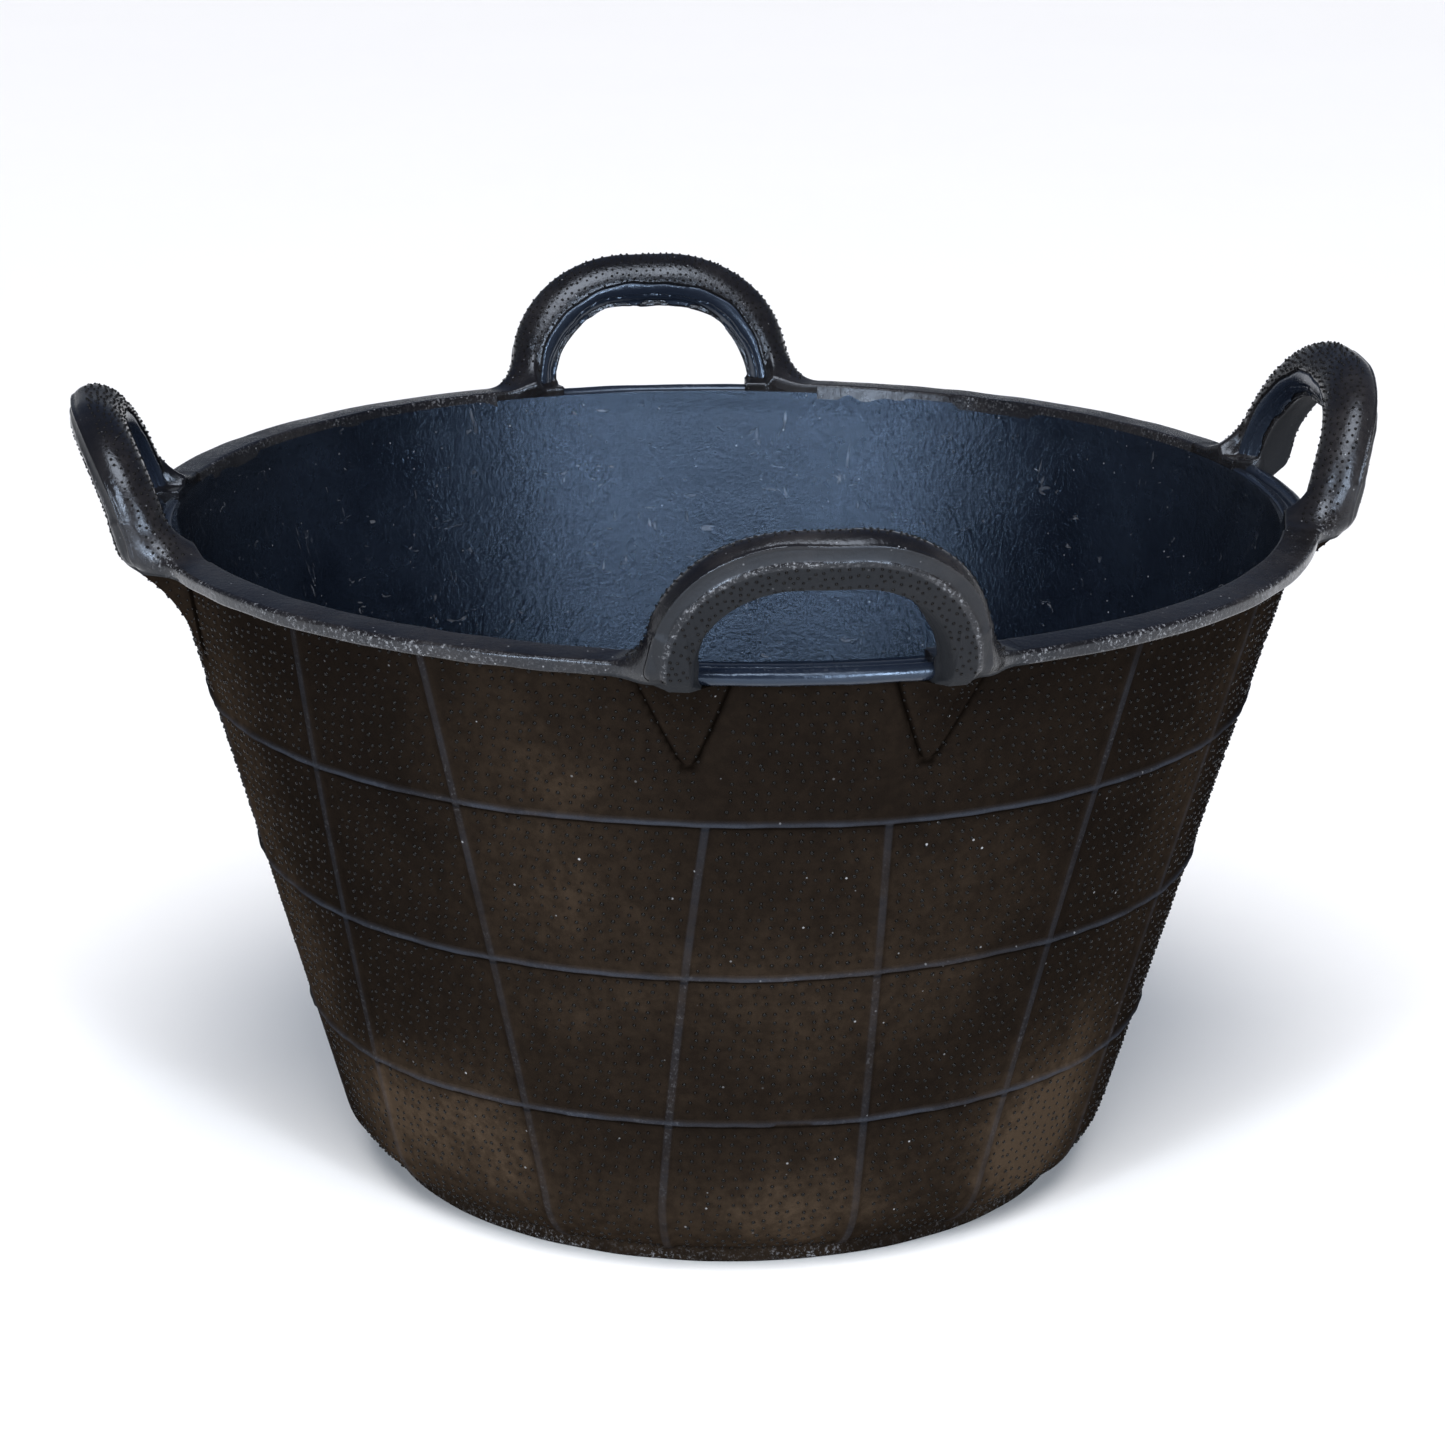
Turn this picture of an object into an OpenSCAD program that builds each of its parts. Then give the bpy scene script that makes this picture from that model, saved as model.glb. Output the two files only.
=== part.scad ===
// Mortar mixing tub: a round, cone-sided rubber tub with a foot ring, a turned-out
// rim and four leaning loop handles. The wall and base are laid up from rubber sheets
// over a canvas ply. Each handle is a rubber skin and lining around a cord core.
// Origin: centre of the foot's underside. +Z is up. The handles lie on -Y, +X, +Y, -X.

/* [Tub] */
// Height from the ground to the top of the rim
tub_h = 345; // [330:1:370]
// Radius of the outer face of the wall, where its cone would meet the ground
wall_foot_r = 191.4; // [186:0.1:198]
// Lean of the wall away from upright, in degrees
wall_lean = 16.18; // [14:0.01:19]
// Radius of the curve between the wall and the base
heel_r = 42; // [36:1:48]
// Height of the base's underside above the ground
base_lift = 5; // [4:0.5:7]

/* [Lay-up] */
// Thickness of the ribbed outer rubber
skin_t = 4; // [3:0.5:5]
// Thickness of the canvas ply
ply_t = 1.5; // [1:0.1:2]
// Thickness of the smooth inner rubber
liner_t = 3.5; // [2.5:0.5:5]

/* [Foot] */
// Outer radius of the foot ring
foot_r = 177; // [174:0.5:180]
// Radial width of the foot ring
foot_w = 8; // [6:0.5:10]

/* [Rim] */
// Outer radius of the rim collar
rim_r = 300; // [298:0.5:304]
// Height of the rim collar
rim_h = 8; // [7:0.5:10]
// Bevel along the collar's top outer edge
rim_bevel = 1.6; // [1:0.2:3]

/* [Ribs] */
// Height of the lowest hoop rib
hoop_first_z = 90; // [80:1:95]
// Distance from one hoop rib to the next
hoop_pitch = 84; // [80:1:86]
// Number of hoop ribs
hoop_count = 3; // [2:1:3]
// Width of a hoop rib
hoop_w = 4; // [3:0.5:6]
// How far the ribs stand out from the wall
rib_proud = 1.8; // [1:0.1:3]
// Number of upright ribs around the wall
rib_count = 16; // [8:8:16]
// Width of an upright rib
rib_w = 4.5; // [3:0.5:6]

/* [Handles] */
// Lean of a handle's plane away from upright, in degrees
handle_lean = 22; // [16:1:28]
// Distance from the tub's axis to the handle's middle line at rim height
handle_root_r = 296; // [293:1:299]
// Radius of the arch, to the middle of the tube
arch_r = 68; // [64:0.5:72]
// How far the arch's centre lies below the rim's top, along its lean
arch_drop = 10.8; // [8:0.1:14]
// Radius of the handle's tube
grip_r = 13; // [12:0.5:14]
// Radius of the cord inside the handle
core_r = 5.5; // [4:0.5:7]

/* [Handle seats] */
// Height of the bar that closes the wall under each hand opening
sill_h = 4; // [3:0.5:6]
// Radius of the bar's rounded nose
sill_nose_r = 4.2; // [3:0.1:5]
// Width of a spur where it meets the handle's leg
spur_w = 30; // [26:1:34]
// Width of a spur's blunt tip
spur_tip_w = 5; // [3:0.5:8]
// Height of a spur below the rim collar
spur_h = 48; // [36:1:60]
// Radius that a spur's face reaches at its top, under the leg
spur_r = 317; // [312:1:320]
// How far a spur stands out from the wall at its tip
spur_tip_proud = 1.2; // [1:0.1:3]

/* [Hidden] */
$fn = 128;

// Turns about +Z that bring the front handle to each side
FRONT = 0;
RIGHT = 90;
BACK = 180;
LEFT = 270;

rubber_black = [0.05, 0.05, 0.06];
rubber_grey = [0.09, 0.09, 0.11];
canvas_tan = [0.55, 0.50, 0.40];
cord_white = [0.75, 0.73, 0.68];

wall_top = tub_h - rim_h;
wall_t = skin_t + ply_t + liner_t;

// Radius of the wall's outer face at height z, moved inwards by depth d
function wall_r(z, d = 0) = wall_foot_r + z * tan(wall_lean) - d / cos(wall_lean);

// Middle of the heel curve: it touches the cone and the base's underside
heel_z = base_lift + heel_r;
heel_x = wall_r(heel_z, heel_r);

// Points of an arc about (x, y), from angle a to angle b
function arc(x, y, r, a, b, n = 14) =
    [for (i = [0:n]) [x + r * cos(a + (b - a) * i / n), y + r * sin(a + (b - a) * i / n)]];

// Outline of one wall layer, between depths d0 and d1 below the outer face
function layer(d0, d1, top = wall_top) = concat(
    arc(heel_x, heel_z, heel_r - d0, -90, -wall_lean),
    [[wall_r(top, d0), top], [wall_r(top, d1), top]],
    arc(heel_x, heel_z, heel_r - d1, -wall_lean, -90)
);

// Half the distance between the middles of a handle's two legs, at the rim's top
leg_x = sqrt(pow(arch_r, 2) - pow(arch_drop, 2));

// Angles, about the tub's axis, of the legs' inner sides and of their middles
sill_half = atan2(leg_x - grip_r, handle_root_r);
leg_turn = atan2(leg_x, handle_root_r);
// Angle that the arch is carried on below its centre before it is trimmed at the rim
root_spare = 22;
// Larger than the tub, for trimming
far = 900;
// Overlap used where one solid is fused to or cut from another
fuse = 0.5;

module hoop(z) {
    half = hoop_w / 2;
    rotate_extrude()
        polygon([
            [wall_r(z - half, fuse), z - half],
            [wall_r(z - half) + rib_proud * 0.3, z - half],
            [wall_r(z - half / 2) + rib_proud, z - half / 2],
            [wall_r(z + half / 2) + rib_proud, z + half / 2],
            [wall_r(z + half) + rib_proud * 0.3, z + half],
            [wall_r(z + half, fuse), z + half]
        ]);
}

// The wall-hugging band that the upright ribs are cut from
module rib_band(top) {
    rotate_extrude()
        polygon(layer(-rib_proud, fuse, top));
}

// Upright ribs at one pair of angles beside each handle
module upright_ribs(turn, top) {
    intersection() {
        rib_band(top);
        for (side = [0:90:270], hand = [-1, 1])
            rotate([0, 0, side + hand * turn])
                translate([-rib_w / 2, -far, 0])
                    cube([rib_w, far - foot_r + foot_w, far]);
    }
}

module wall_outer_rubber() {
    pitch = 360 / rib_count;
    color(rubber_black) {
        rotate_extrude()
            polygon(layer(0, skin_t));
        for (i = [0 : hoop_count - 1])
            hoop(hoop_first_z + i * hoop_pitch);
        upright_ribs(pitch / 2, hoop_first_z + (hoop_count - 1) * hoop_pitch);
        upright_ribs(45 - pitch / 2, wall_top);
    }
}

module wall_canvas() {
    color(canvas_tan)
        rotate_extrude()
            polygon(layer(skin_t, skin_t + ply_t));
}

module wall_inner_rubber() {
    color(rubber_grey)
        rotate_extrude()
            polygon(layer(skin_t + ply_t, wall_t));
}

// One flat disc of the base, starting at depth d above its underside
module base_disc(d, t) {
    translate([0, 0, base_lift + d])
        cylinder(h = t, r = heel_x);
}

module base_outer_rubber() {
    color(rubber_black) base_disc(0, skin_t);
}

module base_canvas() {
    color(canvas_tan) base_disc(skin_t, ply_t);
}

module base_inner_rubber() {
    color(rubber_grey) base_disc(skin_t + ply_t, liner_t);
}

module foot_ring() {
    inner_r = foot_r - foot_w;
    inner_a = -acos((inner_r - heel_x) / heel_r);
    outer_a = -acos((foot_r - heel_x) / heel_r);
    color(rubber_black)
        rotate_extrude()
            polygon(concat(
                [[inner_r, 0]],
                arc(heel_x, heel_z, heel_r, inner_a, outer_a, 4),
                [[foot_r, 1.5], [foot_r - 1.5, 0]]
            ));
}

// Outline of the rim collar's section
rim_section = [
    [wall_r(wall_top, wall_t), wall_top],
    [wall_r(wall_top, wall_t), tub_h],
    [rim_r - rim_bevel, tub_h],
    [rim_r, tub_h - rim_bevel],
    [rim_r - 0.4, wall_top + 0.8],
    [rim_r - 1.2, wall_top]
];

// Rim collar from the legs of one handle to the legs of the next
module rim_band(turn) {
    color(rubber_black)
        rotate([0, 0, turn - 90 + sill_half])
            rotate_extrude(angle = 90 - 2 * sill_half)
                polygon(rim_section);
}

module rim_front_right() { rim_band(FRONT); }
module rim_back_right() { rim_band(RIGHT); }
module rim_back_left() { rim_band(BACK); }
module rim_front_left() { rim_band(LEFT); }

// Rounded bar that closes the wall's top edge under one hand opening
module sill(turn) {
    lip_r = wall_r(wall_top, wall_t);
    nose_r = rim_r - 2 - sill_nose_r;
    nose_z = wall_top + sill_h - sill_nose_r;
    low_z = nose_z - sill_nose_r;
    color(rubber_black)
        rotate([0, 0, turn - 90 - sill_half])
            rotate_extrude(angle = 2 * sill_half)
                polygon(concat(
                    [[lip_r, wall_top], [lip_r, wall_top + sill_h]],
                    arc(nose_r, nose_z, sill_nose_r, 90, -90, 10),
                    [[wall_r(low_z), low_z], [wall_r(wall_top), wall_top]]
                ));
}

module sill_front() { sill(FRONT); }
module sill_right() { sill(RIGHT); }
module sill_back() { sill(BACK); }
module sill_left() { sill(LEFT); }

// The ring of wedge section that the spurs are cut from
module spur_ring() {
    low = wall_top - spur_h;
    rotate_extrude()
        polygon([
            [wall_r(low), low],
            [wall_r(low) + spur_tip_proud, low],
            [spur_r - 1, wall_top - 2],
            [spur_r, tub_h],
            [wall_r(wall_top) + fuse, tub_h],
            [wall_r(wall_top), wall_top]
        ]);
}

// Space that the sill and the hand opening keep clear of the spurs
module sill_clearance() {
    rotate([0, 0, -90 - sill_half])
        rotate_extrude(angle = 2 * sill_half)
            translate([wall_foot_r, wall_top + sill_h - 2 * sill_nose_r])
                square([rim_r, rim_r]);
}

// The two pointed gussets that carry one handle's overhanging legs on the wall
module spurs(turn) {
    color(rubber_black)
        rotate([0, 0, turn])
            difference() {
                intersection() {
                    spur_ring();
                    for (side = [-1, 1])
                        rotate([0, 0, side * leg_turn])
                            rotate([90, 0, 0])
                                linear_extrude(far)
                                    polygon([
                                        [-spur_w / 2, tub_h],
                                        [-spur_w / 2, wall_top],
                                        [-spur_tip_w / 2, wall_top - spur_h],
                                        [spur_tip_w / 2, wall_top - spur_h],
                                        [spur_w / 2, wall_top],
                                        [spur_w / 2, tub_h]
                                    ]);
                }
                rotate_extrude()
                    polygon(rim_section);
                sill_clearance();
            }
}

module spurs_front() { spurs(FRONT); }
module spurs_right() { spurs(RIGHT); }
module spurs_back() { spurs(BACK); }
module spurs_left() { spurs(LEFT); }

// Sweeps a section, drawn as (across the arch, outwards), along the whole arch
module along_arch() {
    translate([0, -arch_drop, 0])
        rotate([0, 0, -root_spare])
            rotate_extrude(angle = 180 + 2 * root_spare)
                translate([arch_r, 0])
                    children();
}

// Puts a swept arch in its leaning plane at one side and trims it at the rim's top
module on_rim(turn) {
    rotate([0, 0, turn])
        intersection() {
            translate([0, -handle_root_r, tub_h])
                rotate([90 + handle_lean, 0, 0])
                    children();
            translate([-rim_r / 2, -2 * rim_r, tub_h])
                cube([rim_r, 2 * rim_r, rim_r]);
        }
}

// Section of the half of a handle's tube that faces away from the tub
module half_tube() {
    difference() {
        circle(grip_r);
        circle(core_r);
        translate([-far / 2, -far])
            square(far);
    }
}

module handle_skin(turn) {
    color(rubber_black)
        on_rim(turn)
            along_arch()
                half_tube();
}

module handle_lining(turn) {
    color(rubber_grey)
        on_rim(turn)
            mirror([0, 0, 1])
                along_arch()
                    half_tube();
}

module handle_core(turn) {
    color(cord_white)
        on_rim(turn)
            along_arch()
                circle(core_r);
}

module handle_skin_front() { handle_skin(FRONT); }
module handle_skin_right() { handle_skin(RIGHT); }
module handle_skin_back() { handle_skin(BACK); }
module handle_skin_left() { handle_skin(LEFT); }
module handle_lining_front() { handle_lining(FRONT); }
module handle_lining_right() { handle_lining(RIGHT); }
module handle_lining_back() { handle_lining(BACK); }
module handle_lining_left() { handle_lining(LEFT); }
module handle_core_front() { handle_core(FRONT); }
module handle_core_right() { handle_core(RIGHT); }
module handle_core_back() { handle_core(BACK); }
module handle_core_left() { handle_core(LEFT); }

wall_outer_rubber();
wall_canvas();
wall_inner_rubber();
base_outer_rubber();
base_canvas();
base_inner_rubber();
foot_ring();
rim_front_right();
rim_back_right();
rim_back_left();
rim_front_left();
sill_front();
sill_right();
sill_back();
sill_left();
spurs_front();
spurs_right();
spurs_back();
spurs_left();
handle_skin_front();
handle_skin_right();
handle_skin_back();
handle_skin_left();
handle_lining_front();
handle_lining_right();
handle_lining_back();
handle_lining_left();
handle_core_front();
handle_core_right();
handle_core_back();
handle_core_left();
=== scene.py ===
"""Looks of the mortar mixing tub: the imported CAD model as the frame, with rubber surfaces built over it.

Lengths in the shape code are millimetres, in the frame's axes. make_piece() turns them into metres.
"""

import itertools
import math

import bpy
import numpy as np
from mathutils import Matrix, Vector


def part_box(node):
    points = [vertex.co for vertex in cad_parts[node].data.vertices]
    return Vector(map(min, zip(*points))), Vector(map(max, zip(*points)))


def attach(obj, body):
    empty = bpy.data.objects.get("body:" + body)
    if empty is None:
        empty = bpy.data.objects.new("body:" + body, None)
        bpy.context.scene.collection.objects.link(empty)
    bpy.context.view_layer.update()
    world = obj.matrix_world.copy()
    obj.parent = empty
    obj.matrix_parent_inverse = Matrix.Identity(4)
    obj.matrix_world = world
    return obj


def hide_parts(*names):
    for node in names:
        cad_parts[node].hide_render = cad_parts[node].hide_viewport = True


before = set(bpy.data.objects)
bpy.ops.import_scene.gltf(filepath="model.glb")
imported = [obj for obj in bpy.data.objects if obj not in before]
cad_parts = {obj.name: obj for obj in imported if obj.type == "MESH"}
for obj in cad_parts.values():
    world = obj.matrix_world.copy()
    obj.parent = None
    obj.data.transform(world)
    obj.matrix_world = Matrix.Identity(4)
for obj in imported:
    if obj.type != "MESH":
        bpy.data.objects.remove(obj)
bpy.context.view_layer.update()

MM = 0.001
# Azimuths of the handles' middles in degrees: quarter turns, from which two stray by half a degree
SIDES = {"front": -90.5, "right": 0.0, "back": 90.5, "left": 180.0}
CORNERS = {
    "front_right": ("front", "right"),
    "back_right": ("right", "back"),
    "back_left": ("back", "left"),
    "front_left": ("left", "front"),
}

# -------------------- sizes, in mm


def top_of(node):
    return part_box(node)[1][2] / MM


def reach_of(node):
    low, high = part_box(node)
    return max(high[0], -low[0], high[1], -low[1]) / MM


RIM_Z = top_of("rim_front_right")
WALL_Z = top_of("wall_outer_rubber")
RIM_R = 300.0
FOOT_R = reach_of("foot_ring")
BASE_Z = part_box("base_outer_rubber")[0][2] / MM

WALL_LEAN = math.radians(16.18)
WALL_FOOT_R = 191.4
WALL_T = 9.0
HEEL_R = 42.0
HEEL_Z = BASE_Z + HEEL_R
HEEL_X = WALL_FOOT_R + HEEL_Z * math.tan(WALL_LEAN) - HEEL_R / math.cos(WALL_LEAN)
HOOPS_Z = (90.0, 174.0, 258.0)
ARCH_Z = 341.0
SKIN_T = 4.0
LINER_T = 3.5


def wall_r(z, depth=0.0):
    """Radius of the wall at a height, some depth under its outer face."""
    return WALL_FOOT_R + z * math.tan(WALL_LEAN) - depth / math.cos(WALL_LEAN)


# -------------------- small maths


def smooth_step(low, high, x):
    t = np.clip((x - low) / (high - low), 0, 1)
    return t * t * (3 - 2 * t)


def blend(a, b, radius):
    """Union of two distance fields with a fillet of that radius where they meet."""
    reach = np.hypot(np.maximum(radius - a, 0), np.maximum(radius - b, 0))
    return np.maximum(radius, np.minimum(a, b)) - reach


def soft_max(a, b, radius):
    """Intersection of two distance fields with the edge rounded to that radius."""
    return -blend(-a, -b, radius)


def apart(turn, other):
    """The angle between two azimuths, up to half a turn."""
    return np.abs((turn - other + math.pi) % (2 * math.pi) - math.pi)


def rounded_box(x, y, low, high, radius):
    mid_x, mid_y = (low[0] + high[0]) / 2, (low[1] + high[1]) / 2
    dx = np.abs(x - mid_x) - (high[0] - low[0]) / 2 + radius
    dy = np.abs(y - mid_y) - (high[1] - low[1]) / 2 + radius
    outside = np.hypot(np.maximum(dx, 0), np.maximum(dy, 0))
    return outside + np.minimum(np.maximum(dx, dy), 0) - radius


def wave(t, seed, lengths, heights):
    """A smooth irregular line: a few sine waves with seeded phases."""
    rng = np.random.default_rng(seed)
    total = np.zeros_like(np.asarray(t, float))
    for length, height in zip(lengths, heights):
        total = total + height * np.sin(2 * math.pi * t / length + rng.uniform(0, 2 * math.pi))
    return total


def lumps(x, y, z, seed, length, height):
    """Gentle unevenness of a hand-worn moulding."""
    rng = np.random.default_rng(seed)
    total = 0.0
    for _ in range(5):
        k = rng.normal(size=3)
        k *= 2 * math.pi / (length * rng.uniform(0.7, 1.5)) / np.linalg.norm(k)
        total = total + np.sin(k[0] * x + k[1] * y + k[2] * z + rng.uniform(0, 6.28))
    return total * height / 5


def lumps_round(radius, turn, z, seed, length, height):
    """The same for points given by radius, azimuth and height."""
    return lumps(radius * np.cos(turn), radius * np.sin(turn), z, seed, length, height)


def arc(centre, radius, start, end, steps):
    """Points of an arc in the (radius, height) plane, angles in degrees."""
    turn = np.radians(np.linspace(start, end, steps))
    return np.stack([centre[0] + radius * np.cos(turn), centre[1] + radius * np.sin(turn)], 1)


def rounded_outline(corners, steps=5):
    """A closed outline from (x, y, corner radius) points."""
    corners = [np.array(c, float) for c in corners]
    out = []
    for before, here, after in zip(corners[-1:] + corners[:-1], corners, corners[1:] + corners[:1]):
        point, radius = here[:2], here[2]
        to_a, to_b = before[:2] - point, after[:2] - point
        to_a, to_b = to_a / np.linalg.norm(to_a), to_b / np.linalg.norm(to_b)
        half = math.acos(np.clip(to_a @ to_b, -1, 1)) / 2
        if radius <= 0 or half > math.pi / 2 - 0.02:
            out.append(point)
            continue
        cut = radius / math.tan(half)
        centre = point + (to_a + to_b) / np.linalg.norm(to_a + to_b) * radius / math.sin(half)
        first, last = point + to_a * cut - centre, point + to_b * cut - centre
        a0 = math.atan2(first[1], first[0])
        turn = (math.atan2(last[1], last[0]) - a0 + math.pi) % (2 * math.pi) - math.pi
        for step in range(steps + 1):
            a = a0 + turn * step / steps
            out.append(centre + radius * np.array([math.cos(a), math.sin(a)]))
    return np.array(out)


# -------------------- making a piece


def settle(points):
    """A soft tub's slight sag and twist: none at the base, up to 2 mm at the rim and 4 mm at the handles' tops."""
    x, y, z = points.T
    radius, turn = np.hypot(x, y), np.arctan2(y, x)
    rise = np.clip(z / RIM_Z, 0, 1) ** 2
    out = rise * (0.9 * np.cos(2 * turn + 0.7) + 0.5 * np.cos(3 * turn + 2.1) + 0.3 * np.sin(7 * turn))
    up = rise * (0.8 * np.cos(2 * turn - 0.4) + 0.5 * np.sin(3 * turn + 1.0))
    above = np.clip((z - RIM_Z) / 60, 0, 1.1)
    up = up + above * 2.6 * np.cos(turn)
    keep = np.where(radius > 1e-6, (radius + out) / np.maximum(radius, 1e-6), 1)
    return np.stack([x * keep, y * keep, z + up], 1)


# Dried patches of dust on the outside, which low on the front flanks, strongest at -153 and -50 degrees, also
# paint the floor's warm sheen: (azimuth, height, spread round in degrees, spread in height, amount)
DUST_AND_SHEEN_PATCHES = [
    (-113, 210, 11, 130, 0.5),
    (-92, 150, 12, 120, 0.3),
    (-135, 55, 12, 40, 1.0),
    (-50, 60, 10, 48, 2.0),
    (-98, 28, 34, 36, 0.7),
    (-153, 45, 9, 40, 1.7),
    (-38, 250, 7, 90, 0.25),
    (-166, 180, 9, 130, 0.6),
    (-70, 180, 11, 60, 0.3),
    (20, 120, 22, 90, 0.8),
    (75, 90, 18, 70, 1.1),
    (110, 220, 20, 90, 0.7),
    (160, 70, 16, 60, 1.0),
]
DUST_EVERYWHERE = 0.12


def dust_on(points):
    """Amount of dust, with painted warm sheen low on the front flanks, on the outside of the tub, from
    DUST_EVERYWHERE to about 2.
    """
    x, y, z = points.T
    degrees = np.degrees(np.arctan2(y, x))
    total = np.full(len(x), DUST_EVERYWHERE)
    for azimuth, height, wide, tall, amount in DUST_AND_SHEEN_PATCHES:
        aside = (degrees - azimuth + 180) % 360 - 180
        total = total + amount * np.exp(-((aside / wide) ** 2) - ((z - height) / tall) ** 2)
    return total


def add_object(name, data):
    made = bpy.data.objects.new(name, data)
    bpy.context.scene.collection.objects.link(made)
    return made


def make_piece(
    name, points, faces, material, stands_for=(), wear=None, painted_highlight=None, painted_shade=None, sharp=None
):
    """A mesh object from vertices in millimetres and a list of arrays of faces, of three or four corners.

    wear is chalky wear; the two amounts after it are a painted highlight and painted shade. All three are
    amounts at each vertex, which the materials read. sharp is an angle in degrees.
    """
    points = settle(np.asarray(points, float)) * MM
    loops = np.concatenate([f.ravel() for f in faces]).astype(np.int32)
    counts = np.concatenate([np.full(len(f), f.shape[1]) for f in faces]).astype(np.int32)
    mesh = bpy.data.meshes.new(name)
    mesh.vertices.add(len(points))
    mesh.vertices.foreach_set("co", points.astype(np.float32).ravel())
    mesh.loops.add(len(loops))
    mesh.loops.foreach_set("vertex_index", loops)
    mesh.polygons.add(len(counts))
    starts = np.concatenate([[0], np.cumsum(counts)[:-1]])
    mesh.polygons.foreach_set("loop_start", starts.astype(np.int32))
    mesh.polygons.foreach_set("loop_total", counts)
    mesh.polygons.foreach_set("use_smooth", np.ones(len(counts), bool))
    mesh.update(calc_edges=True)
    mesh.validate()
    # Amounts the materials read; the dust one also carries painted warm sheen low on the front flanks.
    looks = {"wear": wear, "painted_highlight": painted_highlight, "painted_shade": painted_shade, "dust": dust_on(points / MM)}
    for key, values in looks.items():
        if values is not None:
            layer = mesh.attributes.new(key, "FLOAT", "POINT")
            layer.data.foreach_set("value", np.asarray(values, np.float32))
    if sharp:
        mesh.set_sharp_from_angle(angle=math.radians(sharp))
    mesh.materials.append(material)
    piece = add_object(name, mesh)
    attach(piece, "root")
    if stands_for:
        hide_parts(*stands_for)


def grid_faces(rows, columns, close_rows=False, close_columns=False):
    """Quads of a grid of vertices stored row by row."""
    r = np.arange(rows if close_rows else rows - 1)
    c = np.arange(columns if close_columns else columns - 1)
    r, c = np.meshgrid(r, c, indexing="ij")
    r2, c2 = (r + 1) % rows, (c + 1) % columns
    quads = np.stack([r * columns + c, r * columns + c2, r2 * columns + c2, r2 * columns + c], -1)
    return quads.reshape(-1, 4)


def shell_faces(rows, columns):
    """Faces of a closed ring of two grids: the shown and hidden skins, and the joins at last and first rows."""
    skin = grid_faces(rows, columns, close_columns=True)
    hidden, last = rows * columns, (rows - 1) * columns
    here = np.arange(columns)
    after = (here + 1) % columns
    last_join = np.stack([here, after, hidden + after, hidden + here], 1) + last
    first_join = np.stack([after, here, hidden + here, hidden + after], 1)
    return [skin, skin[:, ::-1] + hidden, last_join, first_join]


def flipped(faces):
    return [part[:, ::-1] for part in faces]


def to_xyz(radius, turn, z):
    return np.stack([radius * np.cos(turn), radius * np.sin(turn), z + 0 * radius], -1).reshape(-1, 3)


# -------------------- materials


class Graph:
    """A short way to write a material's nodes."""

    def __init__(self, name):
        self.material = bpy.data.materials.new(name)
        self.material.use_nodes = True
        self.tree = self.material.node_tree
        self.shader = next(n for n in self.tree.nodes if n.type == "BSDF_PRINCIPLED")
        self.place = self.node("ShaderNodeTexCoord").outputs["Object"]

    def node(self, kind, inputs=None, **settings):
        made = self.tree.nodes.new(kind)
        for key, value in settings.items():
            setattr(made, key, value)
        for key, value in (inputs or {}).items():
            self.put(made.inputs[key], value)
        return made

    def put(self, socket, value):
        if isinstance(value, bpy.types.NodeSocket):
            self.tree.links.new(value, socket)
        else:
            socket.default_value = value

    def maths(self, operation, a, b=0.0, clamp=False):
        return self.node("ShaderNodeMath", {0: a, 1: b}, operation=operation, use_clamp=clamp).outputs[0]

    def noise(self, scale, detail=4.0, roughness=0.55, stretch=None, distortion=0.0):
        place = self.place
        if stretch:
            place = self.node("ShaderNodeMapping", {"Vector": place, "Scale": stretch}).outputs[0]
        facts = {"Vector": place, "Scale": scale, "Detail": detail, "Roughness": roughness}
        return self.node("ShaderNodeTexNoise", facts | {"Distortion": distortion}).outputs["Fac"]

    def ramp(self, value, low, high, to_low=0.0, to_high=1.0):
        """value from low..high mapped to to_low..to_high, smoothly and clamped."""
        facts = {"Value": value, "From Min": low, "From Max": high, "To Min": to_low, "To Max": to_high}
        return self.node("ShaderNodeMapRange", facts, interpolation_type="SMOOTHSTEP").outputs[0]

    def mix(self, amount, a, b):
        made = self.node("ShaderNodeMix", data_type="RGBA")
        self.put(made.inputs[0], amount)
        for socket, value in ((made.inputs[6], a), (made.inputs[7], b)):
            self.put(socket, value if isinstance(value, bpy.types.NodeSocket) else (*value, 1.0))
        return made.outputs[2]

    def bump(self, height, strength, distance, normal=None):
        facts = {"Height": height, "Strength": strength, "Distance": distance}
        if normal is not None:
            facts["Normal"] = normal
        return self.node("ShaderNodeBump", facts).outputs[0]

    def finish(self, colour, roughness, normal, gleam=0.5):
        self.shader.inputs["Specular IOR Level"].default_value = gleam
        self.put(self.shader.inputs["Base Color"], colour)
        self.put(self.shader.inputs["Roughness"], roughness)
        self.put(self.shader.inputs["Normal"], normal)
        return self.material


CHALK = (0.30, 0.30, 0.31)
# Pale speckle colour: dust, which on the inner wall and rim, where dense and fine, also paints glints.
PALE_SPECK_AND_GLINT_COLOUR = (0.42, 0.42, 0.43)
# Painted highlight: a lighter bluish colour on each hoop's and rib's crest.
PAINTED_HIGHLIGHT_COLOUR = (0.034, 0.040, 0.052)
# Painted shade: the colour that shaded hollows, undersides and edges of the rubber are darkened toward.
PAINTED_SHADE_COLOUR = (0.0020, 0.0014, 0.0010)


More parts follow.
